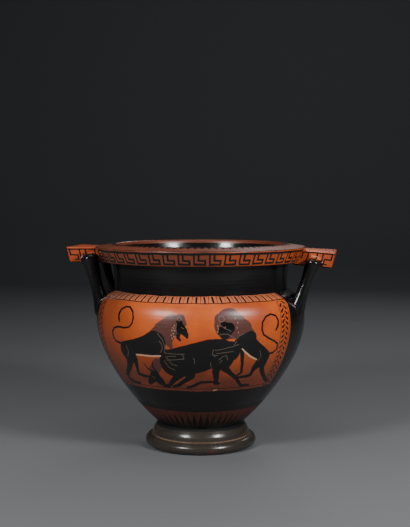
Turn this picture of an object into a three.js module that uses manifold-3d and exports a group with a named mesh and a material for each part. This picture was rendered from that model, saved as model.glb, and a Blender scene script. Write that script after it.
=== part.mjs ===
// Column krater: a wide clay mixing bowl with a low neck, an overhanging rim, a two-degree foot
// and two handles, each a pair of columns under a flat plate that runs out from the rim.
// Millimetres, +Z up. The origin is on the ground under the centre of the foot, the pictured
// front faces -Y and the handles stand at +X and -X. The bowl is thrown, the foot and handles
// are luted on while the clay is soft, and the whole is fired as one piece.

import * as THREE from "three";
import { mergeVertices } from "three/addons/utils/BufferGeometryUtils.js";
import Module from "manifold-3d";

// Driving dimensions.
const TURNS = 60;                 // facets round the vessel
const WALL = 8.5;                 // thrown wall, bowl and neck

const FOOT_REST_R = 88;           // outer edge of the ring that meets the ground
const FOOT_HOLLOW_R = 72;         // inner edge of that ring
const FOOT_HOLLOW_H = 35;         // height of the hollow under the bowl
const FOOT_BULGE = 11;            // how far the lower moulding stands out
const FOOT_STEP_Z = 19.5;         // top of the lower moulding
const FOOT_GROOVE = 1.6;          // depth and height of the groove between the mouldings
const FOOT_UPPER_R = 86.5;        // widest part of the upper moulding
const STEM_R = 74.5;              // where the foot meets the bowl
const STEM_Z = 41.5;

const BELLY_R = 185;              // widest part of the bowl
const BELLY_Z = 228.5;
const BELLY_SPREAD = 50;          // degrees from upright at which the bowl leaves the foot
const STEM_PULL = 44;             // how long it keeps that direction
const UNDER_PULL = 70.5;          // how far below and above its widest part the bowl stays upright
const OVER_PULL = 29;
const NECK_R = 153.5;             // neck at its root
const NECK_Z = 279.5;
const NECK_TOP_R = 157;           // neck under the rim

const RIM_LOW_Z = 330;           // rim face: lower edge, then upper edge
const RIM_LOW_R = 176;
const RIM_EDGE_Z = 354.5;
const RIM_EDGE_R = 187;
const RIM_TOP_Z = 360;            // the rim's top rises a little to the mouth
const MOUTH_R = 151;
const THROAT_Z = 335;             // the throat opens a little from here to the mouth
const FLOOR_Z = 48;               // inside bottom of the bowl

const PLATE_ROOT_X = 168;         // handle plate: buried in the rim here
const PLATE_ROOT_HALF = 26;       // half width at the rim, then at the outer end
const PLATE_END_HALF = 49;
const PLATE_WAIST = 4;            // how far the plate's sides curve in
const PLATE_UNDERCUT = 6;         // the plate's edges lean in by this much towards its underside

const COLUMN_FLARE_HEAD = 5;      // extra radius where the clay is smoothed into the plate
const COLUMN_FLARE_FOOT = 5;      // and into the shoulder
const COLUMN_FLARE_LENGTH = 45;   // and how far along the column that swelling reaches
const COLUMN_CAP_HEAD = 17;       // length over which its head and root round off in the clay
const COLUMN_CAP_FOOT = 20;
const COLUMN_TURNS = 12;

// The two handles are set by hand, so they differ a little. headDepth is how far the columns'
// heads end below the plate's top.
const HANDLES = [
  {
    side: -1, reach: 234, top: 353.5, thick: 28.5, droop: -0.5,
    columnR: 11.4, footX: 168, headX: 193.5, footY: 42, headY: 40, headDepth: 11,
  },
  {
    side: 1, reach: 240.5, top: 353, thick: 29, droop: 3.5,
    columnR: 9.6, footX: 169, headX: 202, footY: 44, headY: 37, headDepth: 15,
  },
];

const ROOT_Z = 241;               // the columns' roots are buried in the shoulder's wall

const clay = new THREE.MeshStandardMaterial({ color: 0x1d1a19, roughness: 0.3, metalness: 0 });

// Curves of the outer profile, each from the lower end to the upper one.
const point = (r, z) => new THREE.Vector2(r, z);

function arc(centreR, centreZ, radiusR, radiusZ, from, to, steps) {
  const degrees = THREE.MathUtils.degToRad;
  const curve = new THREE.EllipseCurve(centreR, centreZ, radiusR, radiusZ, degrees(from), degrees(to));
  return curve.getPoints(steps);
}

function bend(start, pullStart, pullEnd, end, steps) {
  return new THREE.CubicBezierCurve(start, pullStart, pullEnd, end).getPoints(steps);
}

function footCurve() {
  const half = FOOT_STEP_Z / 2;
  const lower = arc(FOOT_REST_R, half, FOOT_BULGE, half, -90, 90, 7);
  const groove = [
    point(FOOT_UPPER_R - FOOT_GROOVE, FOOT_STEP_Z),
    point(FOOT_UPPER_R - FOOT_GROOVE, FOOT_STEP_Z + FOOT_GROOVE),
    point(FOOT_UPPER_R, FOOT_STEP_Z + FOOT_GROOVE),
  ];
  const rise = STEM_Z - FOOT_STEP_Z;
  const upper = bend(
    point(FOOT_UPPER_R, FOOT_STEP_Z + FOOT_GROOVE),
    point(FOOT_UPPER_R + 0.7, FOOT_STEP_Z + 0.36 * rise),
    point(FOOT_UPPER_R - 3.5, FOOT_STEP_Z + 0.8 * rise),
    point(STEM_R, STEM_Z),
    5,
  );
  return [...lower, ...groove, ...upper.slice(1)];
}

function bellyCurve(steps) {
  const spread = THREE.MathUtils.degToRad(BELLY_SPREAD);
  return bend(
    point(STEM_R, STEM_Z),
    point(STEM_R + STEM_PULL * Math.sin(spread), STEM_Z + STEM_PULL * Math.cos(spread)),
    point(BELLY_R, BELLY_Z - UNDER_PULL),
    point(BELLY_R, BELLY_Z),
    steps,
  );
}

function shoulderCurve(steps) {
  return bend(
    point(BELLY_R, BELLY_Z),
    point(BELLY_R, BELLY_Z + OVER_PULL),
    point(BELLY_R - 8, NECK_Z - 7),
    point(NECK_R, NECK_Z),
    steps,
  );
}

function neckCurve(steps) {
  return bend(
    point(NECK_R, NECK_Z),
    point(NECK_R - 1, NECK_Z + 18),
    point(NECK_R + 0.5, RIM_LOW_Z - 18),
    point(NECK_TOP_R, RIM_LOW_Z - 1),
    steps,
  );
}

// Solids.
let wasm;

function toManifold(geometry) {
  const bare = geometry.index ? geometry.toNonIndexed() : geometry.clone();
  bare.deleteAttribute("normal");
  bare.deleteAttribute("uv");
  const merged = mergeVertices(bare, 1e-4);
  const mesh = new wasm.Mesh({
    numProp: 3,
    vertProperties: new Float32Array(merged.attributes.position.array),
    triVerts: new Uint32Array(merged.index.array),
  });
  return new wasm.Manifold(mesh);
}

function toGeometry(solid) {
  const { vertProperties, triVerts } = solid.getMesh();
  const geometry = new THREE.BufferGeometry();
  geometry.setAttribute("position", new THREE.BufferAttribute(vertProperties, 3));
  geometry.setIndex(new THREE.BufferAttribute(triVerts, 1));
  geometry.computeVertexNormals();
  return geometry;
}

// Turned round +Z: the profile runs from the axis, out and up, and back to the axis.
function turned(profile, turns) {
  return toManifold(new THREE.LatheGeometry(profile, turns).rotateX(Math.PI / 2));
}

function outerForm() {
  const hollow = bend(
    point(0, FOOT_HOLLOW_H),
    point(0.62 * FOOT_HOLLOW_R, FOOT_HOLLOW_H),
    point(0.86 * FOOT_HOLLOW_R, 0.6 * FOOT_HOLLOW_H),
    point(FOOT_HOLLOW_R, 0),
    5,
  );
  const rim = [
    point(RIM_LOW_R, RIM_LOW_Z),
    point(RIM_EDGE_R - 0.6, RIM_EDGE_Z - 1.4),
    point(RIM_EDGE_R - 1.6, RIM_EDGE_Z + 0.4),
    point(MOUTH_R, RIM_TOP_Z),
    point(0, RIM_TOP_Z),
  ];
  return turned([
    ...hollow,
    ...footCurve(),
    ...bellyCurve(12).slice(1),
    ...shoulderCurve(6).slice(1),
    ...neckCurve(3).slice(1),
    ...rim,
  ], TURNS);
}

// The inside: the bowl and neck one wall inside the outer curve, open at the mouth.
function cavityForm() {
  const outer = [...bellyCurve(10), ...shoulderCurve(4).slice(1)];
  const inner = outer.slice(0, -1).map((p, i) => {
    const before = outer[Math.max(i - 1, 0)];
    const after = outer[i + 1];
    const along = after.clone().sub(before).normalize();
    return point(p.x - WALL * along.y, p.y + WALL * along.x);
  });
  const throat = NECK_R - WALL;
  return turned([
    point(0, FLOOR_Z),
    point(0.5 * STEM_R, FLOOR_Z + 0.7),
    ...inner,
    point(throat, NECK_Z - WALL / 2),
    point(throat - 0.5, THROAT_Z - 12),
    point(throat, THROAT_Z),
    point(throat + 1.6, THROAT_Z + 10),
    point(MOUTH_R - 2, RIM_TOP_Z - 4),
    point(MOUTH_R - 0.8, RIM_TOP_Z - 0.6),
    point(MOUTH_R, RIM_TOP_Z + 1),
    point(0, RIM_TOP_Z + 1),
  ], TURNS);
}

// A flat plate that widens outwards, with curved sides and edges that lean in below.
function plateForm(handle) {
  const length = handle.reach - PLATE_ROOT_X;
  const waist = (PLATE_ROOT_HALF + PLATE_END_HALF) / 2 - PLATE_WAIST;
  const outline = new THREE.Shape();
  outline.moveTo(0, -PLATE_ROOT_HALF);
  outline.quadraticCurveTo(length / 2, -waist, length, -PLATE_END_HALF);
  outline.lineTo(length, PLATE_END_HALF);
  outline.quadraticCurveTo(length / 2, waist, 0, PLATE_ROOT_HALF);
  const slab = new THREE.ExtrudeGeometry(outline, {
    depth: handle.thick, steps: 1, bevelEnabled: false, curveSegments: 8,
  });
  const place = slab.attributes.position;
  for (let i = 0; i < place.count; i += 1) {
    const below = 1 - place.getZ(i) / handle.thick;
    place.setX(i, place.getX(i) * (1 - below * PLATE_UNDERCUT / length));
    place.setY(i, place.getY(i) * (1 - below * PLATE_UNDERCUT / PLATE_END_HALF));
  }
  slab.translate(0, 0, -handle.thick);
  slab.rotateY(THREE.MathUtils.degToRad(handle.droop));
  slab.translate(PLATE_ROOT_X, 0, handle.top);
  return slab;
}

// A round column along a leaning axis, flared and rounded off at both ends where it is luted on.
function columnProfile(length, radius) {
  const stations = 11;
  const profile = [point(0, 0)];
  for (let i = 1; i < stations; i += 1) {
    const along = 0.5 - 0.5 * Math.cos((Math.PI * i) / stations);
    const fromFoot = along * length;
    const fromHead = length - fromFoot;
    const flare = COLUMN_FLARE_FOOT * Math.max(0, 1 - fromFoot / COLUMN_FLARE_LENGTH) ** 2
      + COLUMN_FLARE_HEAD * Math.max(0, 1 - fromHead / COLUMN_FLARE_LENGTH) ** 2;
    const rounding = Math.min(1, fromFoot / COLUMN_CAP_FOOT, fromHead / COLUMN_CAP_HEAD);
    profile.push(point((radius + flare) * Math.sqrt(1 - (1 - rounding) ** 2), fromFoot));
  }
  profile.push(point(0, length));
  return profile;
}

function columnForm(handle, front) {
  const foot = new THREE.Vector3(handle.footX, front * handle.footY, ROOT_Z);
  const head = new THREE.Vector3(handle.headX, front * handle.headY, handle.top - handle.headDepth);
  const axis = head.clone().sub(foot);
  const column = new THREE.LatheGeometry(columnProfile(axis.length(), handle.columnR), COLUMN_TURNS);
  const upright = new THREE.Quaternion().setFromUnitVectors(
    new THREE.Vector3(0, 1, 0),
    axis.clone().normalize(),
  );
  return column.applyQuaternion(upright).translate(foot.x, foot.y, foot.z);
}

function handleForm(handle) {
  const parts = [plateForm(handle), columnForm(handle, -1), columnForm(handle, 1)];
  const turn = handle.side > 0 ? 0 : Math.PI;
  return parts
    .map((geometry) => toManifold(geometry.rotateZ(turn)))
    .reduce((whole, piece) => whole.add(piece));
}

wasm = await Module();
wasm.setup();

const vessel = HANDLES.reduce((whole, handle) => whole.add(handleForm(handle)), outerForm());
const krater = new THREE.Mesh(toGeometry(vessel.subtract(cavityForm())), clay);
krater.name = "krater";

const group = new THREE.Group();
group.add(krater);
export default group;
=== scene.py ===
# %% [markdown]
# The object is a column krater, a wide bowl for mixing wine with water. A potter threw the foot,
# the bowl, the neck and the rim on a wheel, joined them with wet clay, and then luted on two
# handles, each a flat plate carried by a pair of columns. A painter covered it with thin black
# slip and left two red panels for pictures. The solid comes first: it gives every place and size
# that the painted pot is built to.

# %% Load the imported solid
import math
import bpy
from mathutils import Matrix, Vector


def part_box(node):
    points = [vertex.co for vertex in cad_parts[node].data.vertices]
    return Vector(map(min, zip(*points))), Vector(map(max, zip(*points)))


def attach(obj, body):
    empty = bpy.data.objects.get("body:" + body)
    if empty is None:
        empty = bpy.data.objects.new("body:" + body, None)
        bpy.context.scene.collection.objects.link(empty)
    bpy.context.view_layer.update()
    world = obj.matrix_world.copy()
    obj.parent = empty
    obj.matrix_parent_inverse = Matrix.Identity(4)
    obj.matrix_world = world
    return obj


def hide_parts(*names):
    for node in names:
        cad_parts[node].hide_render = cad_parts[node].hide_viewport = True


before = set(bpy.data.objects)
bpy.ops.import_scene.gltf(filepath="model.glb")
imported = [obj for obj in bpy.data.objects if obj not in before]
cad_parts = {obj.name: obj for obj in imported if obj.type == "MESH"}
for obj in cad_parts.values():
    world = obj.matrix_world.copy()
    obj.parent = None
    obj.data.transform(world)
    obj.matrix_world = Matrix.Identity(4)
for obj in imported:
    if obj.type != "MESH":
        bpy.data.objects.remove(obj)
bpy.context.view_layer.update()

from types import SimpleNamespace

import bpy
import numpy as np
from mathutils import Matrix, Vector

MM = 0.001
low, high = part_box("krater")
TOP = high.z / MM
REACH_LEFT = -low.x / MM
REACH_RIGHT = high.x / MM
print("solid box in mm:", [round(v / MM, 1) for v in (*low, *high)])

# %% [markdown]
# The same few sizes that shape the solid shape the visible pot, in millimetres, so the two agree.
# Heights are above the ground and radii are from the axis of the wheel.

# %% Name the sizes of the pot
WALL = 8.5
FOOT_REST_R = 88
FOOT_HOLLOW_R = 72
FOOT_HOLLOW_H = 35
FOOT_BULGE = 11
FOOT_STEP_Z = 19.5
FOOT_GROOVE = 1.6
FOOT_UPPER_R = 86.5
STEM_R = 74.5
STEM_Z = 41.5
BELLY_R = 185
BELLY_Z = 228.5
BELLY_SPREAD = math.radians(50)
STEM_PULL = 44
UNDER_PULL = 70.5
OVER_PULL = 29
NECK_R = 153.5
NECK_Z = 279.5
NECK_TOP_R = 157
RIM_LOW_Z = TOP - 30
RIM_LOW_R = 176
RIM_EDGE_R = 186.4
RIM_EDGE_Z = TOP - 6.9
MOUTH_R = 151
THROAT_Z = TOP - 25
FLOOR_Z = 48

# %% [markdown]
# A thrown pot is one outline turned round an axis. The outline could be drawn by hand point by
# point, but a few Bezier curves between named corners say it better: the curve leaves a corner
# in one direction, arrives at the next in another, and the fill is even.

# %% Draw the outer outline
def bezier(a, b, c, d, steps):
    """Points on a smooth curve after a, up to d, pulled towards b and c."""
    made = []
    for i in range(1, steps + 1):
        t = i / steps
        s = 1 - t
        weights = (s ** 3, 3 * s * s * t, 3 * s * t * t, t ** 3)
        made.append(tuple(sum(w * p[k] for w, p in zip(weights, (a, b, c, d))) for k in (0, 1)))
    return made


def straight(a, b, steps):
    """Points on a straight line after a, up to b."""
    third = [(2 * p + q) / 3 for p, q in zip(a, b)]
    two_thirds = [(p + 2 * q) / 3 for p, q in zip(a, b)]
    return bezier(a, third, two_thirds, b, steps)


def lower_foot(steps):
    """The round lower bulge of the foot, from the ground to the step."""
    half = FOOT_STEP_Z / 2
    angles = [math.pi * i / steps for i in range(1, steps + 1)]
    return [(FOOT_REST_R + FOOT_BULGE * math.sin(a), half - half * math.cos(a)) for a in angles]


def bowl(inset, steps_low, steps_high):
    """The belly and shoulder, and the same curve moved inwards by the wall."""
    stem = (STEM_R, STEM_Z)
    belly = (BELLY_R, BELLY_Z)
    pull = (STEM_R + STEM_PULL * math.sin(BELLY_SPREAD), STEM_Z + STEM_PULL * math.cos(BELLY_SPREAD))
    line = [stem, *bezier(stem, pull, (BELLY_R, BELLY_Z - UNDER_PULL), belly, steps_low)]
    line += bezier(belly, (BELLY_R, BELLY_Z + OVER_PULL), (BELLY_R - 8, NECK_Z - 7),
                   (NECK_R, NECK_Z), steps_high)
    moved = []
    for i, point in enumerate(line):
        before = line[max(i - 1, 0)]
        after = line[min(i + 1, len(line) - 1)]
        along = Vector((after[0] - before[0], after[1] - before[1])).normalized()
        moved.append((point[0] - inset * along.y, point[1] + inset * along.x))
    return moved


BOWL_STEPS = (56, 22)
GROOVE_TOP_Z = FOOT_STEP_Z + FOOT_GROOVE
under = [(0, FOOT_HOLLOW_H)]
under += bezier(under[0], (44.6, FOOT_HOLLOW_H), (61.9, 21), (FOOT_HOLLOW_R, 0), 16)
foot = [(FOOT_REST_R, 0), *lower_foot(18)]
foot += [(FOOT_UPPER_R - FOOT_GROOVE, FOOT_STEP_Z), (FOOT_UPPER_R - FOOT_GROOVE, GROOVE_TOP_Z)]
foot += [(FOOT_UPPER_R, GROOVE_TOP_Z)]
foot += bezier(foot[-1], (86.6, 25.4), (84.2, 35.8), (STEM_R, STEM_Z), 14)
neck = bezier((NECK_R, NECK_Z), (NECK_R - 1, 297.5), (NECK_R + 0.5, 312),
              (NECK_TOP_R, RIM_LOW_Z - 1), 16)
rim = [(172.5, RIM_LOW_Z - 0.6), (RIM_LOW_R - 1, RIM_LOW_Z - 0.2), (RIM_LOW_R, RIM_LOW_Z + 0.8)]
rim += straight(rim[-1], (RIM_EDGE_R, RIM_EDGE_Z), 10)
rim += [(RIM_EDGE_R, RIM_EDGE_Z + 0.8), (RIM_EDGE_R - 0.5, RIM_EDGE_Z + 1.6)]
rim += straight(rim[-1], (MOUTH_R, TOP), 8)
outer_side = foot + bowl(0, *BOWL_STEPS)[1:] + neck + rim
outline = under + outer_side + [(0, TOP)]
print("outer outline:", len(outline), "points")

# %% [markdown]
# The hollow has an outline of its own, a wall's thickness inside the first. Cutting it out as a
# second turned form, rather than drawing both in one line, also trims the roots of the columns
# that would otherwise poke into the bowl.

# %% Draw the outline of the hollow
inner_wall = [p for p in bowl(WALL, 46, 18) if p[1] > FLOOR_Z + 13]
first_r, first_z = inner_wall[0]
hollow = [(0, FLOOR_Z)]
hollow += bezier(hollow[0], (50, FLOOR_Z), (first_r - 12, first_z - 10.7), inner_wall[0], 14)
hollow += inner_wall[1:]
throat = (NECK_R - WALL, NECK_Z - 4.25)
hollow += [throat, *straight(throat, (NECK_R - 9, THROAT_Z - 12), 12)]
hollow += bezier(hollow[-1], (NECK_R - 9, THROAT_Z), (NECK_R - 7.5, THROAT_Z + 6),
                 (MOUTH_R - 2, TOP - 4), 14)
hollow += bezier(hollow[-1], (MOUTH_R - 1.5, TOP - 1.8), (MOUTH_R - 0.6, TOP - 0.3),
                 (MOUTH_R + 1, TOP + 0.2), 6)
hollow += [(MOUTH_R + 1, TOP + 2), (0, TOP + 2)]
print("hollow outline:", len(hollow), "points")

# %% [markdown]
# Shader and geometry nodes do sums by the dozen. Written out node by node they are unreadable,
# so one small class wraps a socket: adding, multiplying or comparing two of them adds the Math
# node that does it, and one method adds every other kind of node.

# %% Wrap a socket
class Wire:
    """A socket that can be used in a sum. Each operation adds the node that works it out."""

    def __init__(self, tree, socket=None):
        self.tree = tree
        self.socket = socket

    def add(self, kind, settings=(), sockets=(), out=0):
        """Adds a node: first its settings, then a value or a link for each of its sockets."""
        node = self.tree.nodes.new(kind)
        for name, value in dict(settings).items():
            setattr(node, name, value)
        for name, value in dict(sockets).items():
            if isinstance(value, Wire):
                self.tree.links.new(value.socket, node.inputs[name])
            else:
                node.inputs[name].default_value = value
        return Wire(self.tree, node.outputs[out]) if len(node.outputs) else node

    def math(self, operation, *values):
        return self.add("ShaderNodeMath", {"operation": operation}, enumerate(values))

    def alone(self, operation):
        """A Math operation on this value by itself, such as its sine."""
        return self.math(operation, self)

    def vector(self, operation, *values, out=0):
        return self.add("ShaderNodeVectorMath", {"operation": operation}, enumerate(values), out)

    def scaled(self, amount):
        return self.add("ShaderNodeVectorMath", {"operation": "SCALE"}, {0: self, 3: amount})

    def part(self, axis):
        return self.add("ShaderNodeSeparateXYZ", (), {0: self}, axis)

    def joined(self, y, z):
        return self.add("ShaderNodeCombineXYZ", (), {0: self, 1: y, 2: z})

    def mixed(self, other, share):
        """This colour, with a share of another laid over it."""
        return self.add("ShaderNodeMix", {"data_type": "RGBA"}, {0: share, 6: self, 7: other}, 2)

    def fade(self, start, end):
        """0 up to start, 1 from end on, smooth in between."""
        return self.add("ShaderNodeMapRange", {"interpolation_type": "SMOOTHSTEP"},
                        {"Value": self, "From Min": start, "From Max": end})

    def __add__(self, other):
        return self.math("ADD", self, other)

    def __radd__(self, other):
        return self.math("ADD", other, self)

    def __sub__(self, other):
        return self.math("SUBTRACT", self, other)

    def __rsub__(self, other):
        return self.math("SUBTRACT", other, self)

    def __mul__(self, other):
        return self.math("MULTIPLY", self, other)

    def __rmul__(self, other):
        return self.math("MULTIPLY", other, self)

    def __truediv__(self, other):
        return self.math("DIVIDE", self, other)

    def __mod__(self, other):
        return self.math("FLOORED_MODULO", self, other)

    def __neg__(self):
        return self.math("MULTIPLY", self, -1)

    def __abs__(self):
        return self.alone("ABSOLUTE")

    def least(self, other):
        return self.math("MINIMUM", self, other)

    def most(self, other):
        return self.math("MAXIMUM", self, other)


# %% [markdown]
# The wheel itself is a Geometry Nodes tree. Screw or Spin could turn the outline too, but a tree
# keeps its sizes as named inputs and serves every turned form here, the columns as well. It lays
# out a grid with a row for each point of the outline, looks up that point's radius and height,
# and stands the grid round the axis. Welding closes the seam and the two poles.

# %% Build the wheel
def build_wheel():
    """A tree that turns a line of points, x for radius and z for height, round the z axis."""
    tree = bpy.data.node_groups.new("wheel", "GeometryNodeTree")
    face = tree.interface
    face.new_socket("Outline", in_out="INPUT", socket_type="NodeSocketGeometry")
    face.new_socket("Steps round", in_out="INPUT", socket_type="NodeSocketInt")
    face.new_socket("Weld distance", in_out="INPUT", socket_type="NodeSocketFloat")
    face.new_socket("Clay", in_out="INPUT", socket_type="NodeSocketMaterial")
    face.new_socket("Turned form", in_out="OUTPUT", socket_type="NodeSocketGeometry")
    given = tree.nodes.new("NodeGroupInput")
    line, steps, weld, clay = (Wire(tree, s) for s in list(given.outputs)[:4])
    rows = line.add("GeometryNodeAttributeDomainSize", {"component": "MESH"}, {0: line})
    columns = steps + 1
    grid = line.add("GeometryNodeMeshGrid", (), {"Vertices X": rows, "Vertices Y": columns})
    index = line.add("GeometryNodeInputIndex")
    row = (index / columns).alone("FLOOR")
    angle = (index % columns) * math.tau / steps
    spot = line.add("GeometryNodeSampleIndex", {"data_type": "FLOAT_VECTOR"},
                    {"Geometry": line, "Value": line.add("GeometryNodeInputPosition"),
                     "Index": row})
    radius = spot.part(0)
    around = radius * angle.alone("COSINE")
    away = radius * angle.alone("SINE")
    stood = line.add("GeometryNodeSetPosition", (),
                     {"Geometry": grid, "Position": around.joined(away, spot.part(2))})
    closed = line.add("GeometryNodeMergeByDistance", (), {"Geometry": stood, "Distance": weld})
    smooth = line.add("GeometryNodeSetShadeSmooth", (), {"Geometry": closed})
    real = line.add("GeometryNodeRealizeInstances", (), {"Geometry": smooth})
    dressed = line.add("GeometryNodeSetMaterial", (), {"Geometry": real, "Material": clay})
    result = tree.nodes.new("NodeGroupOutput")
    tree.links.new(dressed.socket, result.inputs[0])
    return tree


def settle(thing, name):
    """The evaluated shape of an object, as a plain mesh with no modifier left on it."""
    bpy.context.view_layer.update()
    seen = thing.evaluated_get(bpy.context.evaluated_depsgraph_get())
    mesh = bpy.data.meshes.new_from_object(seen)
    bpy.data.objects.remove(thing)
    mesh.name = name
    return mesh


def stand(name, mesh):
    """An object of the scene that shows a mesh."""
    thing = bpy.data.objects.new(name, mesh)
    bpy.context.scene.collection.objects.link(thing)
    return thing


def volume(mesh):
    """The volume in cubic metres, negative if the faces point inwards."""
    mesh.calc_loop_triangles()
    points = np.array([v.co for v in mesh.vertices])
    corners = points[np.array([t.vertices for t in mesh.loop_triangles])]
    return float(np.einsum("ij,ij->i", corners[:, 0], np.cross(corners[:, 1], corners[:, 2])).sum() / 6)


wheel = build_wheel()
raw_clay = bpy.data.materials.new("raw_clay")


def turn(name, points, steps):
    """Turns an outline in millimetres on the wheel."""
    line = bpy.data.meshes.new(name)
    line.from_pydata([(r * MM, 0, z * MM) for r, z in points],
                     [(i, i + 1) for i in range(len(points) - 1)], [])
    thing = stand(name, line)
    work = thing.modifiers.new("wheel", "NODES")
    work.node_group = wheel
    values = {"Steps round": steps, "Weld distance": 0.00002, "Clay": raw_clay}
    for item in wheel.interface.items_tree:
        if item.name in values:
            work[item.identifier] = values[item.name]
    mesh = settle(thing, name)
    if volume(mesh) < 0:
        mesh.flip_normals()
    return mesh


STEPS_ROUND = 216
thrown = turn("thrown_pot", outline, STEPS_ROUND)
scoop = turn("scoop", hollow, STEPS_ROUND)
print("thrown pot:", len(thrown.polygons), "faces,", round(volume(thrown) * 1000, 2), "litres")
print("hollow:", len(scoop.polygons), "faces,", round(volume(scoop) * 1000, 2), "litres")

# %% [markdown]
# Each handle was cut and rolled from soft clay and smoothed by wet fingers: a plate that widens
# away from the rim, and two columns that swell into the plate above and the shoulder below. The
# plate and columns are made as separate closed forms that run into each other. A voxel remesh
# then makes one skin of them and a few passes of smoothing round the edges and fill the corners,
# as fingers do. Bevels would leave the joints between the columns and the plate sharp.

# %% Make the handles
PLATE_ROOT_X = 168
PLATE_ROOT_HALF = 26
PLATE_END_HALF = 49
PLATE_WAIST = 4
PLATE_UNDERCUT = 6
COLUMN_ROOT_Z = 241
FLARE_LENGTH = 45
FLARE_LOW = 5
FLARE_HIGH = 5
CAP_LOW = 13
CAP_HIGH = 9
HANDLES = {
    "left": dict(side=-1, reach=REACH_LEFT, top=TOP - 6.5, thick=28.5, droop=-0.5, column=11.4,
                 root=(168, 42), head=(193.5, 40), head_depth=11),
    "right": dict(side=1, reach=REACH_RIGHT, top=TOP - 7, thick=29, droop=3.5, column=9.6,
                  root=(169, 44), head=(202, 37), head_depth=15),
}


def plate(name, h):
    """A plate like a wide tongue, drawn in a little along its sides and towards its underside."""
    length = (h["reach"] - PLATE_ROOT_X) / math.cos(math.radians(h["droop"]))
    side = []
    for i in range(13):
        t = i / 12
        half = PLATE_ROOT_HALF + (PLATE_END_HALF - PLATE_ROOT_HALF) * t
        side.append((length * t, half - PLATE_WAIST * 4 * t * (1 - t)))
    edge = [(x, -y) for x, y in side] + [(x, y) for x, y in reversed(side)]
    rings = []
    for depth, inset in ((0, 0), (0.5, PLATE_UNDERCUT / 2), (1, PLATE_UNDERCUT)):
        shrink = 1 - inset / PLATE_END_HALF
        rings.append([(x - inset * x / length, y * shrink, -depth * h["thick"]) for x, y in edge])
    points = [p for r in rings for p in r]
    n = len(edge)
    faces = [tuple(range(n)), tuple(reversed(range(2 * n, 3 * n)))]
    for k in (0, 1):
        for i in range(n):
            j = (i + 1) % n
            faces.append((k * n + i, (k + 1) * n + i, (k + 1) * n + j, k * n + j))
    mesh = bpy.data.meshes.new(name)
    mesh.from_pydata([Vector(p) * MM for p in points], [], faces)
    mesh.transform(Matrix.Rotation(math.radians(h["droop"]), 4, "Y"))
    mesh.transform(Matrix.Translation((PLATE_ROOT_X * MM, 0, h["top"] * MM)))
    if volume(mesh) < 0:
        mesh.flip_normals()
    return mesh


def column(name, h, across):
    """A column thrown on the same wheel, then leaned from the shoulder to the plate."""
    root = Vector((h["root"][0], across * h["root"][1], COLUMN_ROOT_Z))
    head = Vector((h["head"][0], across * h["head"][1], h["top"] - h["head_depth"] - CAP_HIGH))
    length = (head - root).length
    line = [(0, -CAP_LOW)]
    for i in range(1, 7):
        a = math.pi / 2 * i / 6
        line.append(((h["column"] + FLARE_LOW) * math.sin(a), -CAP_LOW * math.cos(a)))
    for i in range(1, 24):
        z = length * i / 24
        low_flare = FLARE_LOW * max(0, 1 - z / FLARE_LENGTH) ** 2
        high_flare = FLARE_HIGH * max(0, 1 - (length - z) / FLARE_LENGTH) ** 2
        line.append((h["column"] + low_flare + high_flare, z))
    for i in range(7):
        a = math.pi / 2 * i / 6
        line.append(((h["column"] + FLARE_HIGH) * math.cos(a), length + CAP_HIGH * math.sin(a)))
    line[-1] = (0, length + CAP_HIGH)
    mesh = turn(name, line, 40)
    lean = (head - root).to_track_quat("Z", "Y").to_matrix().to_4x4()
    mesh.transform(Matrix.Translation(root * MM) @ lean)
    return mesh


def merged(name, meshes):
    """One mesh that holds several."""
    points = []
    faces = []
    for mesh in meshes:
        start = len(points)
        points += [v.co.copy() for v in mesh.vertices]
        faces += [tuple(start + i for i in p.vertices) for p in mesh.polygons]
    made = bpy.data.meshes.new(name)
    made.from_pydata(points, [], faces)
    return made


VOXEL = 0.0016
handles = []
for name, h in HANDLES.items():
    parts = [plate(name + "_plate", h), column(name + "_front", h, -1)]
    parts.append(column(name + "_rear", h, 1))
    soft = stand(name + "_handle", merged(name + "_handle", parts))
    skin = soft.modifiers.new("one_skin", "REMESH")
    skin.mode = "VOXEL"
    skin.voxel_size = VOXEL
    skin.use_smooth_shade = True
    fingers = soft.modifiers.new("wet_fingers", "SMOOTH")
    fingers.factor = 0.5
    fingers.iterations = 6
    mesh = settle(soft, name + "_handle")
    if h["side"] < 0:
        mesh.transform(Matrix.Rotation(math.pi, 4, "Z"))
    handles.append(stand(name + "_handle", mesh))
    print(name, "handle:", len(mesh.polygons), "faces")

# %% [markdown]
# On the wheel stand the parts become one pot: the handles are joined to the thrown body, and the
# hollow is scooped out of both. The manifold solver keeps the result closed, so the pot is one
# skin with a real wall thickness.

# %% Join the handles and scoop the bowl
def combine(base, operation, tool):
    """Joins or cuts one closed form with another."""
    work = base.modifiers.new(operation.lower(), "BOOLEAN")
    work.operation = operation
    work.solver = "MANIFOLD"
    work.object = tool
    mesh = settle(base, base.name)
    spent = tool.data
    bpy.data.objects.remove(tool)
    bpy.data.meshes.remove(spent)
    return mesh


pot = stand("thrown_pot", thrown)
for handle in handles:
    pot = stand("joined_pot", combine(pot, "UNION", handle))
pot_mesh = combine(pot, "DIFFERENCE", stand("scoop", scoop))
pot = stand("painted_krater", pot_mesh)
pot_mesh.name = "painted_krater"
for face in pot_mesh.polygons:
    face.use_smooth = True
pot_mesh.set_sharp_from_angle(angle=math.radians(38))
pot_mesh.calc_loop_triangles()
clay_litres = round(volume(pot_mesh) * 1000, 2)
print("krater:", len(pot_mesh.loop_triangles), "triangles,", clay_litres, "litres of clay")

# %% [markdown]
# The camera stands where a visitor would, a little above the rim and slightly to the right of the
# front, and far enough back for the upright lines to stay almost parallel.

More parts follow.
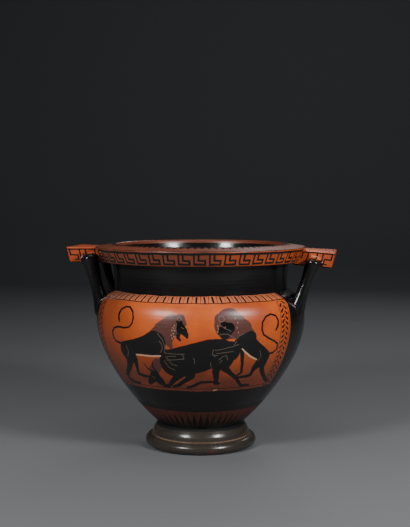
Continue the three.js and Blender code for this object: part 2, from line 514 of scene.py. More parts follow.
# %% Place the camera
CAMERA_TURN = math.radians(9.5)
CAMERA_AWAY = 1.762
CAMERA_HEIGHT = 0.4423
CAMERA_DIP = math.radians(3.855)
CAMERA_AIM = math.radians(0.249)
camera = bpy.data.objects.new("camera", bpy.data.cameras.new("camera"))
bpy.context.scene.collection.objects.link(camera)
camera.data.sensor_width = 36
camera.data.lens = 67.63
camera.location = (CAMERA_AWAY * math.sin(CAMERA_TURN), -CAMERA_AWAY * math.cos(CAMERA_TURN),
                   CAMERA_HEIGHT)
camera.rotation_euler = (math.pi / 2 - CAMERA_DIP, 0, CAMERA_TURN - CAMERA_AIM)
bpy.context.scene.camera = camera
print("camera at", [round(v, 3) for v in camera.location])

# %% [markdown]
# Two soft boxes light the pot from the front, one on each side, as in a small studio. Wider and
# weaker ones hang above and behind. The front pair makes the paired glints on the foot and
# shoulder. The room is kept dim, because black slip only looks black with little around it to
# reflect.

# %% Light the scene
def soft_box(name, turn_deg, rise_deg, away, width, height, power):
    """A rectangular soft light that faces the middle of the pot."""
    lamp = bpy.data.lights.new(name, "AREA")
    lamp.shape = "RECTANGLE"
    lamp.size = width
    lamp.size_y = height
    lamp.energy = power
    thing = bpy.data.objects.new(name, lamp)
    bpy.context.scene.collection.objects.link(thing)
    a = math.radians(turn_deg)
    e = math.radians(rise_deg)
    aim = Vector((math.sin(a) * math.cos(e), -math.cos(a) * math.cos(e), math.sin(e)))
    thing.location = Vector((0, 0, 0.22)) + aim * away
    thing.rotation_euler = aim.to_track_quat("Z", "Y").to_euler()
    return thing


soft_box("left_box", -30, 26, 1.7, 0.34, 0.3, 20)
soft_box("right_box", 53, 26, 1.7, 0.34, 0.3, 22)
soft_box("top_box", 0, 80, 1.9, 1.2, 0.9, 5)
soft_box("back_box", 168, 38, 2.7, 1.2, 0.9, 11)
world = bpy.data.worlds.new("dim_room")
bpy.context.scene.world = world
world.use_nodes = True
world.node_tree.nodes["Background"].inputs["Color"].default_value = (0.032, 0.0325, 0.034, 1)

# %% [markdown]
# The pot stands on a sheet of pale paper that curves up behind it, as in a studio, so there is
# no line between floor and wall. It is staging, not part of the pot.

# %% Lay the paper
PAPER_HALF = 5
BEND_START = 3.0
BEND_RADIUS = 1.6
sweep = [(-3.5, 0), (BEND_START, 0)]
for i in range(1, 25):
    a = math.pi / 2 * i / 24
    sweep.append((BEND_START + BEND_RADIUS * math.sin(a), BEND_RADIUS * (1 - math.cos(a))))
sweep.append((BEND_START + BEND_RADIUS, 4.5))
paper_mesh = bpy.data.meshes.new("paper_floor")
paper_mesh.from_pydata([(x, y, z) for y, z in sweep for x in (-PAPER_HALF, PAPER_HALF)], [],
                       [(2 * i, 2 * i + 1, 2 * i + 3, 2 * i + 2) for i in range(len(sweep) - 1)])
for face in paper_mesh.polygons:
    face.use_smooth = True
floor = stand("paper_floor", paper_mesh)
paper = bpy.data.materials.new("pale_paper")
paper.use_nodes = True
paper_shader = paper.node_tree.nodes["Principled BSDF"]
paper_shader.inputs["Base Color"].default_value = (0.15, 0.154, 0.162, 1)
paper_shader.inputs["Roughness"].default_value = 0.75
paper_mesh.materials.append(paper)
print("paper:", 2 * PAPER_HALF, "m wide")

# %% [markdown]
# Every mark on the pot is a stroke of a brush: it starts at one point with one width and ends at
# another with another. A small node group gives the distance from any point to the edge of such
# a stroke, negative inside it, and keeps the least distance so far, so strokes chain into a
# drawing. Drawn this way the edges stay sharp at any size, which a painted image would not.

# %% Make the brush
def build_brush():
    """A group that gives the distance to the edge of a tapering stroke."""
    tree = bpy.data.node_groups.new("brush_stroke", "ShaderNodeTree")
    kinds = {"Place": "Vector", "From": "Vector", "To": "Vector", "From half": "Float",
             "To half": "Float", "So far": "Float"}
    for name, kind in kinds.items():
        tree.interface.new_socket(name, in_out="INPUT", socket_type="NodeSocket" + kind)
    tree.interface.new_socket("Distance", in_out="OUTPUT", socket_type="NodeSocketFloat")
    given = tree.nodes.new("NodeGroupInput")
    place, start, end, start_half, end_half, so_far = (
        Wire(tree, s) for s in list(given.outputs)[:6])
    along = end.vector("SUBTRACT", end, start)
    inside = place.vector("SUBTRACT", place, start)
    reach = along.vector("DOT_PRODUCT", along, along, out=1)
    share = inside.vector("DOT_PRODUCT", inside, along, out=1) / reach
    share = share.least(1).most(0)
    away = inside.vector("SUBTRACT", inside, along.scaled(share))
    gap = away.vector("LENGTH", away, out=1) - (start_half + (end_half - start_half) * share)
    result = tree.nodes.new("NodeGroupOutput")
    tree.links.new(gap.least(so_far).socket, result.inputs[0])
    return tree


brush = build_brush()


def draw(place, line, so_far=1000.0):
    """Draws a chain of strokes. Each point is (across, up, half width) in millimetres."""
    for a, b in zip(line, line[1:]):
        so_far = place.add("ShaderNodeGroup", {"node_tree": brush},
                           {"Place": place, "From": (*a[:-1], 0)[:3], "To": (*b[:-1], 0)[:3],
                            "From half": a[-1], "To half": b[-1], "So far": so_far})
    return so_far


def draw_all(place, lines, so_far=1000.0):
    """Draws several chains of strokes, one after the other."""
    for line in lines:
        so_far = draw(place, line, so_far)
    return so_far


def ring(place, across, up, radius, half):
    """The distance to a thin ring."""
    centre = place.vector("DISTANCE", place, (across, up, 0), out=1)
    return abs(centre - radius) - half


def bar(u, v, left, low, right, high):
    """The distance to an upright rectangle."""
    sideways = abs(u - (left + right) / 2) - (right - left) / 2
    upwards = abs(v - (low + high) / 2) - (high - low) / 2
    return sideways.most(upwards)


EDGE = 0.3


def ink(distance):
    """How much of the coat covers a point: all of it inside a stroke, none outside."""
    return distance.fade(EDGE, -EDGE)


print("brush:", len(brush.nodes), "nodes")

# %% [markdown]
# The fired surface is the same everywhere: orange clay under a thin polish, and a black slip that
# turned glossy in the kiln. Both vary. The clay is paler in some patches than in others, the slip
# is browner where the brush ran dry, and the wheel left faint rings. Low on the pot the clay is
# darkened, partly its own tone and partly painted shade where the belly turns down. Each zone of
# the pot gets a material of its own, which only has to say where its coats lie, so no zone works
# out the strokes of another. Distances across a picture are an angle from the front times one
# radius.

# %% Mix the clay and the slips
def tone(red, green, blue):
    """A colour given as it looks, from 0 to 255, in the linear form that shaders use."""
    linear = [((level / 255 + 0.055) / 1.055) ** 2.4 for level in (red, green, blue)]
    return (*linear, 1)


CLAY_LIGHT = tone(208, 95, 34)
CLAY_DEEP = tone(176, 72, 28)
# A darker clay: painted shade on the left of the front picture, and low on the pot partly its own tone
# and partly painted shade.
CLAY_DARK_AND_SHADE = tone(84, 46, 36)
# A dull brown for the rim and the plates; on the rim's face it is partly painted shade.
CLAY_DULL = tone(84, 50, 40)
# A deep brown for the painted shade on the lower belly above the foot.
CLAY_UNDER_SHADE = tone(74, 34, 28)
SLIP_BLACK = tone(21, 20, 20)
SLIP_BROWN = tone(26, 18, 14)
FOOT_GREY = tone(56, 50, 45)
FOOT_BROWN = tone(74, 62, 52)
MANE_PURPLE = tone(88, 50, 44)
# A pale paint for touches on the figures and the line in the foot, also laid as a painted sheen at the
# top of the shoulder.
CREAM_AND_SHEEN = tone(206, 174, 146)
INCISED = tone(118, 102, 88)
FLECK = (0.9, 0.62, 0.42, 1)
PANEL_R = 180
RIPPLE = 6.5
CLAY_ROUGH = 0.36
SLIP_POLISH = 0.17


def spot(wire):
    """Where a point is on the pot, in millimetres, with the unevenness of hand work."""
    metres = wire.add("ShaderNodeTexCoord", out="Object")
    place = metres.scaled(1 / MM)
    shake = wire.add("ShaderNodeTexNoise", {"noise_dimensions": "3D"},
                     {"Vector": metres, "Scale": 55.0, "Detail": 1.0}, out="Color")
    hand = place.vector("ADD", place, shake.vector("SUBTRACT", shake, (0.5, 0.5, 0.5)).scaled(2.2))
    x = hand.part(0)
    y = hand.part(1)
    z = hand.part(2)
    radius = (x * x + y * y).alone("SQRT")
    front = x.math("ARCTAN2", x, -y) * PANEL_R
    back = x.math("ARCTAN2", -x, y) * PANEL_R
    return SimpleNamespace(metres=metres, place=place, x=x, z=z, radius=radius, front=front, back=back)


def cloud(s, scale, detail, stretch=(1, 1, 1)):
    """Soft noise from 0 to 1; a scale of 10 gives patches of about 100 mm."""
    where = s.metres.vector("MULTIPLY", s.metres, stretch)
    return s.metres.add("ShaderNodeTexNoise", (),
                        {"Vector": where, "Scale": scale, "Detail": detail})


def fired(name, decorate):
    """A material of clay and slip. decorate gives its coats: slip is the share of black, shade and
    over are a share and a colour under and over the slip, purple, cream_and_sheen and incised are
    shares of those paints, slip_tones are the slip where thick and thin, and matt is added
    roughness. The shade is painted shade on the lower belly and the left of the front picture,
    partly painted shade on the rim's face, and a duller clay on the rim top and the plates;
    cream_and_sheen is pale paint, and also a painted sheen at the top of the shoulder."""
    material = bpy.data.materials.new(name)
    material.use_nodes = True
    tree = material.node_tree
    tree.nodes.clear()
    s = spot(Wire(tree))
    coats = decorate(s)
    broad = cloud(s, 9.0, 3.0)
    patch = cloud(s, 42.0, 3.0)
    grain = cloud(s, 900.0, 2.0)
    streak = cloud(s, 24.0, 2.0, (1, 1, 14))
    slip = coats["slip"]
    clay = s.x.add("ShaderNodeMix", {"data_type": "RGBA"},
                   {0: broad.fade(0.36, 0.66), 6: CLAY_LIGHT, 7: CLAY_DEEP}, 2)
    # The clay darkens towards the foot: partly its own tone, partly painted shade where the belly turns
    # down away from the light.
    clay = clay.mixed(CLAY_DARK_AND_SHADE, s.z.fade(228, 128) * 0.85)
    clay = clay.mixed(CLAY_DEEP, patch.fade(0.5, 0.75) * 0.35)
    clay = clay.mixed(FLECK, grain.fade(0.62, 0.8) * 0.16)
    if "shade" in coats:
        clay = clay.mixed(coats["shade"][1], coats["shade"][0])
    thick, thin = coats.get("slip_tones", (SLIP_BLACK, SLIP_BROWN))
    black = s.x.add("ShaderNodeMix", {"data_type": "RGBA"},
                    {0: streak.fade(0.5, 0.85) * 0.6, 6: thick, 7: thin}, 2)
    colour = clay.mixed(black, slip)
    for key, paint in (("purple", MANE_PURPLE), ("cream_and_sheen", CREAM_AND_SHEEN), ("incised", INCISED)):
        if key in coats:
            colour = colour.mixed(paint, coats[key])
    wear = grain.fade(0.7, 0.82) * patch.fade(0.55, 0.75) * 0.7
    colour = colour.mixed(CLAY_DEEP, wear * slip)
    if "over" in coats:
        colour = colour.mixed(coats["over"][1], coats["over"][0])
    rough = CLAY_ROUGH - slip * SLIP_POLISH + (patch - 0.5) * 0.16 + (streak - 0.5) * 0.1
    rough = rough + coats.get("matt", 0)
    ripple = (s.z * (math.tau / RIPPLE) + broad * 9).alone("SINE")
    height = ripple * 0.016 + grain * 0.03 + patch * 0.25 + streak * 0.05
    bump = s.x.add("ShaderNodeBump", (), {"Strength": 1.0, "Distance": MM, "Height": height})
    skin = s.x.add("ShaderNodeBsdfPrincipled", (),
                   {"Base Color": colour, "Roughness": rough, "Normal": bump})
    end = tree.nodes.new("ShaderNodeOutputMaterial")
    tree.links.new(skin.socket, end.inputs["Surface"])
    print(name, "has", len(tree.nodes), "nodes")
    return material


# %% [markdown]
# The panels show an animal fight, a stock subject of this ware: two lions bring down a bull. The
# animals here are plain types. Each limb is a tapering stroke or two, fat where the muscle is and
# thin at the paw, in millimetres across the panel and up from the ground. Purple manes lie over
# the clay, black bodies over the manes, and fine scratched lines over everything.

# %% Lay out the lions and the bull
LEFT_TAIL = [(-119, 199, 2.2), (-131, 201, 1.8), (-137, 208, 1.8), (-138, 217, 1.8),
             (-132, 224, 1.7), (-122, 227, 1.6), (-108, 226, 1.5), (-96, 228, 1.5),
             (-88.5, 235, 1.5), (-86, 244, 1.5), (-89, 254, 1.5), (-97, 260.5, 1.5),
             (-107, 261, 1.5), (-116, 256.5, 1.7), (-120.5, 248, 1.9), (-120, 241, 2.3),
             (-117.5, 236, 1.6)]
LEFT_BODY = [
    [(-110, 191, 12), (-82, 197, 12.5), (-60, 203, 15), (-46, 207, 19)],
    [(-86, 190, 5.5), (-40, 190, 5.5)],
    [(-111, 186, 12.5), (-107, 171, 8.5), (-117, 156, 5), (-128, 147, 4), (-137, 139, 3.6),
     (-136, 133, 3.2), (-122, 129.5, 2.8), (-106, 129, 2.2)],
    [(-98, 190, 9), (-93, 174, 6), (-95, 158, 3.8), (-97, 148, 3.2), (-88, 145, 2.8),
     (-75, 144.5, 2.2)],
]
LEFT_HEAD = [
    [(-4, 240, 5.5), (-2, 232, 7.5), (2, 228, 6.5), (7, 221, 3.8), (8.5, 216.5, 2)],
    [(-6, 224, 4.5), (-6.5, 216, 2.8), (-3, 212, 1.8)],
]
LEFT_MANE = [
    [(-4, 245, 9), (-16, 238, 15.5), (-32, 227, 14.5), (-45, 219, 10)],
    [(-18, 236, 15), (-24, 214, 10), (-19, 201, 3.5)],
    [(-2, 247, 7), (4, 238, 4)],
]
LEFT_REACH = [[(-40, 194, 9), (-18, 184, 5.5), (0, 184, 4)]]
LEFT_STAND = [
    [(-42, 195, 12), (-34, 172, 6.5), (-32, 152, 4.2), (-33, 135, 3.8), (-20, 129.5, 2.6)],
    [(-52, 190, 9), (-55, 165, 5), (-52, 148, 3.8), (-56, 134, 3.6), (-43, 129.5, 2.4)],
]
BULL_BODY = [
    [(-18, 173, 24), (0, 175, 26), (22, 181, 26), (45, 189, 24.5), (62, 188, 26)],
    [(62, 188, 25), (78, 192, 18), (92, 200, 11)],
    [(60, 172, 10), (57, 158, 6.5), (59, 143, 4.4), (57, 137, 3.6), (64, 136, 3)],
    [(74, 176, 12), (72, 164, 6.5), (85, 153, 3.8), (98, 144, 3.2), (107, 135, 2.8),
     (113, 129.5, 2.4), (131, 129, 2)],
    [(-6, 156, 9), (-22, 141, 4.6), (-33, 131, 3.6), (-46, 128.5, 2.4)],
    [(14, 151, 6), (0, 141, 3.8), (-14, 132, 3.2), (-25, 129, 2.2)],
    [(58, 139, 2), (30, 138.5, 2.2), (14, 131, 2.4), (3, 128.5, 2)],
    [(-58, 148, 9.5), (-68, 140, 7), (-77, 133, 4.2)],
    [(-60, 146, 8), (-50, 138, 8), (-46, 134, 5)],
    [(-62, 155, 1.8), (-70, 160, 1.4), (-76, 168, 0.8)],
    [(-52, 154, 1.8), (-58, 163, 1.5), (-56, 172, 0.8)],
]
BULL_NECK = [[(-46, 170, 9.5), (-58, 156, 9.5), (-64, 148, 6)]]
RIGHT_BODY = [
    [(98, 206, 14), (106, 208, 15), (122, 195, 12.5), (138, 184, 12), (146, 178, 12)],
    [(100, 208, 13), (112, 214, 11)],
    [(146, 176, 12), (138, 168, 9.5), (130, 160, 5.5), (128, 149, 3.6), (120, 146, 2.8),
     (101, 145, 2.2)],
    [(147, 172, 10), (149, 157, 5), (158, 146, 4), (169, 137, 3.4), (183, 130, 2.6)],
    [(99, 194, 4), (103, 172, 2.6), (105, 154, 2.4), (98, 149, 1.8)],
    [(92, 202, 9), (74, 195, 6), (54, 190, 4.5)],
]
RIGHT_HEAD = [
    [(66, 237, 5.5), (75, 231, 9.5), (68, 222, 9)],
    [(61, 230, 4), (62, 222, 5)],
]
RIGHT_MANE = [
    [(77, 237, 26), (98, 229, 16), (112, 223, 6)],
    [(60, 246, 9), (58, 232, 6)],
]
RIGHT_TAIL = [(155, 183, 2.2), (165, 184, 1.8), (172, 190, 1.7), (171, 199, 1.7),
              (160, 205, 1.6), (146, 211, 1.6), (137, 217, 1.6), (133, 227, 1.6),
              (134, 238, 1.6), (141, 246, 1.5), (152, 250, 1.5), (163, 246, 1.5),
              (168.5, 237, 1.6), (167.5, 229, 2.2), (163.5, 222, 1.6)]

# %% [markdown]
# The scratched lines mark ribs, shoulders, claws and manes, where the point of a tool went
# through the slip to the clay. They are all the same fine width, so a line is only its points.

# %% Lay out the scratched lines and the pale touches
SCRATCH = 0.5


def fine(*points):
    """A line of one width through some points."""
    return [(*p, SCRATCH) for p in points]


LEFT_SCRATCHES = [
    fine((-40, 222), (-33, 213), (-29, 200), (-31, 190)),
    fine((-38, 209), (-34, 203), (-34, 196), (-38, 190)),
    fine((-31, 190), (-10, 188), (3, 189)),
    fine((-29, 177), (-12, 178), (2, 180)),
    fine((-8, 240), (-10, 228), (-8, 222)),
    fine((-1, 233), (3, 231)),
    fine((-106, 196), (-104, 186), (-110, 176)),
]
REACH_SCRATCHES = [
    fine((-2, 188), (2, 184), (0, 180)),
    fine((-26, 184), (-12, 184)),
    fine((17, 182), (20, 179), (19, 172)),
    fine((50, 196), (49, 188), (54, 184)),
    fine((53, 195), (66, 197), (80, 200), (92, 204)),
    fine((56, 190), (70, 191), (84, 192)),
    fine((52, 187), (58, 186)),
    fine((60, 178), (66, 184), (73, 186), (75, 178)),
    fine((62, 173), (66, 178)),
    fine((-34, 176), (-26, 164), (-16, 160)),
    fine((-30, 184), (-20, 170), (-10, 168)),
    fine((46, 174), (48, 166)),
    fine((-66, 146), (-60, 142)),
]
RIGHT_SCRATCHES = [
    fine((57, 219), (64, 222), (72, 222), (82, 216)),
    fine((86, 212), (92, 218), (101, 222)),
    fine((60, 238), (66, 232), (78, 226)),
    fine((134, 190), (138, 180), (134, 172)),
    fine((88, 210), (84, 203)),
    fine((58, 236), (57, 226)),
]
LEFT_PALE = [[(-87, 182.6, 1.1), (-60, 182.2, 1.4), (-39, 184, 1.3)]]
RIGHT_PALE = [[(99, 196, 1.0), (105, 189.5, 1.3), (113, 183.5, 1.3), (122, 179, 1.3),
               (130, 175.5, 1.0)], [(57, 123, 1.1), (63, 124, 0.7)]]
LEFT_RUFF = [[(x, z, 0.9), (x + 0.6, z - 1.2, 0.7)]
             for x, z in ((-12, 236), (-14, 232), (-12, 228), (-16, 228), (-14, 223),
                          (-17, 220), (-13, 218), (-16, 215))]
RIGHT_RUFF = [[(x, z, 0.8), (x + 0.5, z - 1.2, 0.6)]
              for x, z in ((56, 236), (57, 231), (56, 226), (68, 233), (88, 232), (90, 224),
                           (89, 240), (85, 247))]
LEFT_BLACK = [LEFT_TAIL, *LEFT_BODY, *LEFT_HEAD]
RIGHT_BLACK = [RIGHT_TAIL, *BULL_BODY, *RIGHT_BODY, *RIGHT_HEAD]
ALL_SCRATCHES = [*LEFT_SCRATCHES, *REACH_SCRATCHES, *RIGHT_SCRATCHES]
black_strokes = sum(len(line) - 1 for line in LEFT_BLACK + LEFT_REACH + RIGHT_BLACK)
print("front picture:", black_strokes, "black strokes and", len(ALL_SCRATCHES), "scratched lines")

# %% [markdown]
# A panel is left in clay between black sides. Tongues hang in a row under the neck, and a double
# row of ivy leaves runs down each side. Both are one small motif repeated: the position is folded
# with a remainder, so a single drawn leaf or tongue appears all along the row.

# %% Frame the panels
FULL_ROUND = math.tau * PANEL_R
TONGUES = 77
TONGUE = FULL_ROUND / TONGUES
PANEL_HALF = 202
FIELD_HALF = 173.5
PANEL_LOW = 121.5
PANEL_HIGH = 279.6
TONGUES_LOW = 269.5
IVY = 8.6
LEFT_EYE = (-4, 246, 3.0, 0.6)
RIGHT_EYE = (63, 246, 4.6, 0.7)
MIRROR = 15


def panel_frame(s, across):
    """The black round a panel, its tongues and its ivy, as one distance."""
    ground = -bar(across, s.z, -PANEL_HALF, PANEL_LOW, PANEL_HALF, PANEL_HIGH)
    fold = (across % TONGUE) - TONGUE / 2
    tongue = draw(fold.joined(s.z, 0), [(0.4, 271.8, 1.4), (-0.3, 277.5, 1.8)])
    between = ((across + TONGUE / 2) % TONGUE) - TONGUE / 2
    tongue = draw(between.joined(s.z, 0), [(-0.2, 271, 0.35), (0.2, 279, 0.6)], tongue)
    line = abs(s.z - (TONGUES_LOW + 0.7)) - 0.6
    tongues = tongue.least(line).most(TONGUES_LOW - s.z)
    out = abs(across) - FIELD_HALF
    leaf_fold = (s.z % IVY) - IVY / 2
    other_fold = ((s.z + IVY / 2) % IVY) - IVY / 2
    leaves = draw(out.joined(leaf_fold, 0), [(6.4, -2.1, 2.1), (10.6, 1.9, 1.3)])
    leaves = draw(out.joined(other_fold, 0), [(19.6, -2.1, 2.1), (15.6, 1.9, 1.3)], leaves)
    lines = (abs(out - 2) - 0.6).least(abs(out - 13) - 0.35).least(abs(out - 24.5) - 0.7)
    ivy = leaves.least(lines).most(s.z - 268)
    base = (abs(s.z - 126.4) - 0.55).most(abs(across) - FIELD_HALF)
    return ground.least(tongues).least(ivy).least(base)


def painted(black, purple, pale, ruff, scratched):
    """The coats of a picture, from the distance to each kind of stroke."""
    slip = ink(black)
    return {"slip": slip, "purple": ink(purple) * (1 - slip),
            "cream_and_sheen": (ink(pale) * 0.85).most(ink(ruff) * 0.45), "incised": ink(scratched) * 0.7}


def front_panel(s):
    """The picture on the front: two lions on a bull."""
    place = s.front.joined(s.z, 0)
    black = panel_frame(s, s.front)
    black = draw_all(place, [*LEFT_BLACK, *LEFT_REACH, *RIGHT_BLACK], black)
    purple = draw_all(place, [*LEFT_MANE, *BULL_NECK, *RIGHT_MANE])
    pale = draw_all(place, [*LEFT_PALE, *RIGHT_PALE])
    ruff = draw_all(place, [*LEFT_RUFF, *RIGHT_RUFF])
    scratched = draw_all(place, ALL_SCRATCHES)
    scratched = scratched.least(ring(place, *LEFT_EYE)).least(ring(place, *RIGHT_EYE))
    coats = painted(black, purple, pale, ruff, scratched)
    # Painted sheen: the bare clay at the top of the shoulder, above the tongues' line, is paled where
    # the light from above glances off it.
    painted_sheen = s.z.fade(268, 272) * 0.2 * (1 - coats["slip"])
    coats["cream_and_sheen"] = coats["cream_and_sheen"].most(painted_sheen)
    # Painted shade: the clay of the front picture darkens towards its left edge.
    coats["shade"] = (s.front.fade(-60, -150) * 0.6, CLAY_DARK_AND_SHADE)
    return coats


def back_panel(s):
    """The plainer picture on the back: two lions face to face."""
    place = (MIRROR - abs(s.back)).joined(s.z, 0)
    black = panel_frame(s, s.back)
    black = draw_all(place, [*LEFT_BLACK, *LEFT_STAND], black)
    purple = draw_all(place, LEFT_MANE)
    pale = draw_all(place, LEFT_PALE)
    ruff = draw_all(place, LEFT_RUFF)
    scratched = draw_all(place, LEFT_SCRATCHES).least(ring(place, *LEFT_EYE))
    return painted(black, purple, pale, ruff, scratched)


print("tongues round the neck:", round(FULL_ROUND / TONGUE))

# %% [markdown]
# The rest of the pot carries only simple bands: a running key round the rim and the handle plates,
# rays above the foot and on top of the rim, and black everywhere else. The key is a few bars in
# a cell that repeats. Its cells are counted so that a whole number goes round.

# %% Paint the bands
KEYS = 45
KEY = FULL_ROUND / KEYS
KEY_CELL = 25
KEY_PHASE = 17.7
PLATE_CELL = 25.6
RAYS = 56
RAY_R = 100
RAY_TIP_Z = 76
RIM_RAYS = 87
RIM_RAY_R = 158


def all_bars(u, v, bars):
    """The distance to the nearest of several bars, each (left, low, right, high)."""
    distance = bar(u, v, *bars[0])
    for corners in bars[1:]:
        distance = distance.least(bar(u, v, *corners))
    return distance


def rim_key(u, v):
    """One cell of the running key on the rim, repeated along u."""
    bars = ((0, 1.0, 2.6, 18.4), (0, 1.0, 20.4, 3.5), (17.9, 1.0, 20.4, 9.7),
            (7.6, 7.2, 20.4, 9.7), (7.6, 7.2, 10.1, 18.4), (0, 17.7, KEY_CELL, 20.8))
    return all_bars(u % KEY_CELL, v, bars)


def plate_key(along, depth):
    """The larger key on the plates, a square spiral that starts again at each corner."""
    bars = ((0, 3.4, PLATE_CELL, 5.6), (18.6, 3.4, 21.2, 19), (3, 3.4, 5.6, 15.8),
            (3, 13.4, 16.8, 15.8), (14.4, 13.4, 16.8, 24), (9.5, 21.8, 16.8, 24))
    return all_bars((abs(along) - PLATE_END_HALF) % PLATE_CELL, depth, bars)


def plain_black(s):
    """Slip all over."""
    return {"slip": 1.0}


def rim_face(s):
    """The running key on the outer face of the rim."""
    u = (s.front - KEY_PHASE) * (KEY_CELL / KEY)
    distance = rim_key(u, s.z - (RIM_LOW_Z + 1.2))
    # The rim's face looks downwards, so its clay is darkened with a dull brown: partly its own tone,
    # partly painted shade that deepens from the right towards the front and left.
    return {"slip": ink(distance - 0.4), "shade": (0.3 + s.front.fade(85, 35) * 0.5, CLAY_DULL)}


def rim_top(s):
    """Rays that point outwards from the mouth, and a bare band outside them."""
    turn_mm = s.front * (RIM_RAY_R / PANEL_R)
    cell = math.tau * RIM_RAY_R / RIM_RAYS
    ray = abs((turn_mm % cell) - cell / 2) - (MOUTH_R + 13 - s.radius) * (cell / 2 / 13)
    edge = abs(s.radius - (RIM_EDGE_R - 0.9)) - 0.7
    lip = (s.radius - MOUTH_R).most(s.z - (TOP - 6))
    ray = ray.most(MOUTH_R + 0.5 - s.radius)
    return {"slip": ink(ray.least(edge).least(lip)), "shade": (0.8, CLAY_DULL)}


def ray_zone(s):
    """Slender rays that rise from the foot, under a black band."""
    cell = math.tau * RAY_R / RAYS
    turn_mm = s.front * (RAY_R / PANEL_R)
    ray = abs((turn_mm % cell) - cell / 2) - (RAY_TIP_Z - s.z) * (cell / 2 / 28)
    band = RAY_TIP_Z + 3.5 - s.z
    base = s.z - (RAY_TIP_Z - 28.5)
    # Painted shade: the lower belly faces down to the floor, so its clay is darkened to a deep brown.
    return {"slip": ink(ray.least(band).least(base)), "shade": (0.75, CLAY_UNDER_SHADE),
            "matt": 0.22}


def foot_zone(s):
    """The foot: slip fired to a brownish grey, bare clay where it stands, a pale line in the step."""
    groove = abs(s.place.part(2) - 20.4) - 0.75
    bare = s.z - 1.2
    patch = s.place.vector("DISTANCE", s.place, (36, -91, 2), out=1) - 8
    return {"slip": 1 - ink(bare) - patch.fade(6, -8) * 0.35, "cream_and_sheen": ink(groove),
            "over": (s.z.fade(36.6, 38), SLIP_BLACK), "slip_tones": (FOOT_GREY, FOOT_BROWN),
            "matt": 0.05 + s.z.fade(36, 38) * 0.3}


def handle_zone(s):
    """The plates: the key along their edges, a framed top, black underneath and on the columns."""
    along = s.x.add("ShaderNodeAttribute", {"attribute_name": "along_edge"}, out="Fac")
    level = s.x.add("ShaderNodeAttribute", {"attribute_name": "below_top"}, out="Fac")
    rim_in = s.x.add("ShaderNodeAttribute", {"attribute_name": "from_edge"}, out="Fac")
    shake = (s.x - s.place.part(0)) * 0.5
    key = plate_key(along + shake, shake - level)
    top = (level + 2.0) * 100
    frame_line = abs(rim_in - 5.5) - 0.8
    key_or_top = key.most(top).least(frame_line.most(-top))
    under_edge = level + 26.6
    black = key_or_top.least(under_edge)
    side_place = s.place.part(0).joined(abs(s.place.part(1)), s.place.part(2))
    for h in HANDLES.values():
        root = (h["side"] * h["root"][0], h["root"][1], COLUMN_ROOT_Z)
        head = (h["side"] * h["head"][0], h["head"][1], h["top"] - h["head_depth"] - 13)
        luted = draw(side_place, [(*root, h["column"] + 4), (*head, h["column"] + 6.5)])
        black = black.least(luted.most(level + h["head_depth"] + 1))
    return {"slip": ink(black), "shade": (0.25, CLAY_DULL)}


# %% [markdown]
# Eight finishes cover the pot, one for each zone, and the kiln fires them all at once. They are
# put on the mesh in a fixed order, because a face names its material by its place in that list.

# %% Fire the zones
ZONES = [("black_slip", plain_black), ("front_picture", front_panel),
         ("back_picture", back_panel), ("rim_key", rim_face), ("rim_rays", rim_top),
         ("foot_rays", ray_zone), ("foot_slip", foot_zone), ("handle_key", handle_zone)]
pot_mesh.materials.clear()
for name, decorate in ZONES:
    pot_mesh.materials.append(fired(name, decorate))
ZONE = {name: i for i, (name, decorate) in enumerate(ZONES)}

# %% [markdown]
# Each face now takes the material of its zone, told from its height, its radius and its direction
# from the axis. The zones meet inside black areas, so no seam shows.

# %% Sort the faces into zones
count = len(pot_mesh.polygons)
centres = np.zeros(count * 3)
pot_mesh.polygons.foreach_get("center", centres)
centres = centres.reshape(-1, 3) / MM
face_r = np.hypot(centres[:, 0], centres[:, 1])
face_z = centres[:, 2]
outer_line = np.array([p for p in outer_side if p[1] < RIM_EDGE_Z + 1])
outer_r = np.interp(face_z, outer_line[:, 1], outer_line[:, 0])
facing_front = np.abs(np.arctan2(centres[:, 0], -centres[:, 1])) * PANEL_R
facing_back = np.abs(np.arctan2(-centres[:, 0], centres[:, 1])) * PANEL_R
outside = face_r > outer_r - 2.5
zone = np.full(count, ZONE["black_slip"])
picture = outside & (face_z > 118) & (face_z < 283)
zone[picture & (facing_front < PANEL_HALF + 6)] = ZONE["front_picture"]
zone[picture & (facing_back < PANEL_HALF + 6)] = ZONE["back_picture"]
zone[outside & (face_z > STEM_Z) & (face_z < 88)] = ZONE["foot_rays"]
zone[(face_z < STEM_Z) & (outside | (face_z < FOOT_HOLLOW_H + 1))] = ZONE["foot_slip"]
zone[outside & (face_z > RIM_LOW_Z + 0.3) & (face_z < RIM_EDGE_Z + 0.9)] = ZONE["rim_key"]
zone[(face_z > RIM_EDGE_Z + 0.9) & (face_r > MOUTH_R - 4)] = ZONE["rim_rays"]
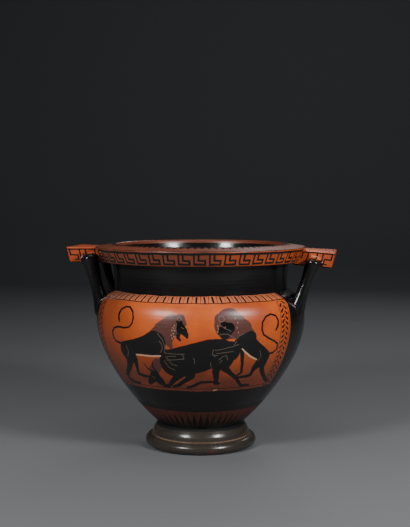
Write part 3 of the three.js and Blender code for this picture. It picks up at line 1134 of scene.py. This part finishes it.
on_plate = (face_r > outer_r + 0.5) & (face_z > 305) & (np.abs(centres[:, 0]) > 150)
zone[on_plate] = ZONE["handle_key"]
pot_mesh.polygons.foreach_set("material_index", zone.astype(np.int32))
for name, i in ZONE.items():
    print(name, "covers", int((zone == i).sum()), "faces")

# %% [markdown]
# The key on a plate turns the corners with it, so it can't be laid out in plain x and y. The
# plates get three measures at their points instead: the way along the edge, the depth below the
# top and the distance in from the edge. They are stored as attributes, which a material can read.

# %% Measure the plates for the key
points = np.zeros(len(pot_mesh.vertices) * 3)
pot_mesh.vertices.foreach_get("co", points)
points = points.reshape(-1, 3) / MM
along_edge = np.zeros(len(points))
below_top = np.zeros(len(points))
from_edge = np.zeros(len(points))
for h in HANDLES.values():
    droop = math.radians(h["droop"])
    here = points[:, 0] * h["side"] > 150
    out = points[:, 0] * h["side"] - PLATE_ROOT_X
    drop = points[:, 2] - h["top"]
    local_out = out * math.cos(droop) - drop * math.sin(droop)
    local_drop = out * math.sin(droop) + drop * math.cos(droop)
    length = (h["reach"] - PLATE_ROOT_X) / math.cos(droop)
    inset = -local_drop / h["thick"] * PLATE_UNDERCUT
    share = np.clip(local_out / length, 0, 1)
    half = PLATE_ROOT_HALF + (PLATE_END_HALF - PLATE_ROOT_HALF) * share
    half = half - PLATE_WAIST * 4 * share * (1 - share)
    to_end = length - inset - local_out
    to_side = half - inset * 0.7 - np.abs(points[:, 1])
    on_side = np.sign(points[:, 1]) * (PLATE_END_HALF + to_end)
    along = np.where(to_end < to_side, points[:, 1], on_side) * h["side"]
    along_edge[here] = along[here]
    below_top[here] = local_drop[here]
    from_edge[here] = np.minimum(to_end, to_side)[here]
measures = {"along_edge": along_edge, "below_top": below_top, "from_edge": from_edge}
for name, values in measures.items():
    store = pot_mesh.attributes.new(name, "FLOAT", "POINT")
    store.data.foreach_set("value", values.astype(np.float32))
print("plates measured:", int((np.abs(points[:, 0]) > 190).sum()), "points")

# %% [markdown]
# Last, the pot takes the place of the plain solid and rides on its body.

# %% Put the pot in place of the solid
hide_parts("krater")
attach(pot, "root")
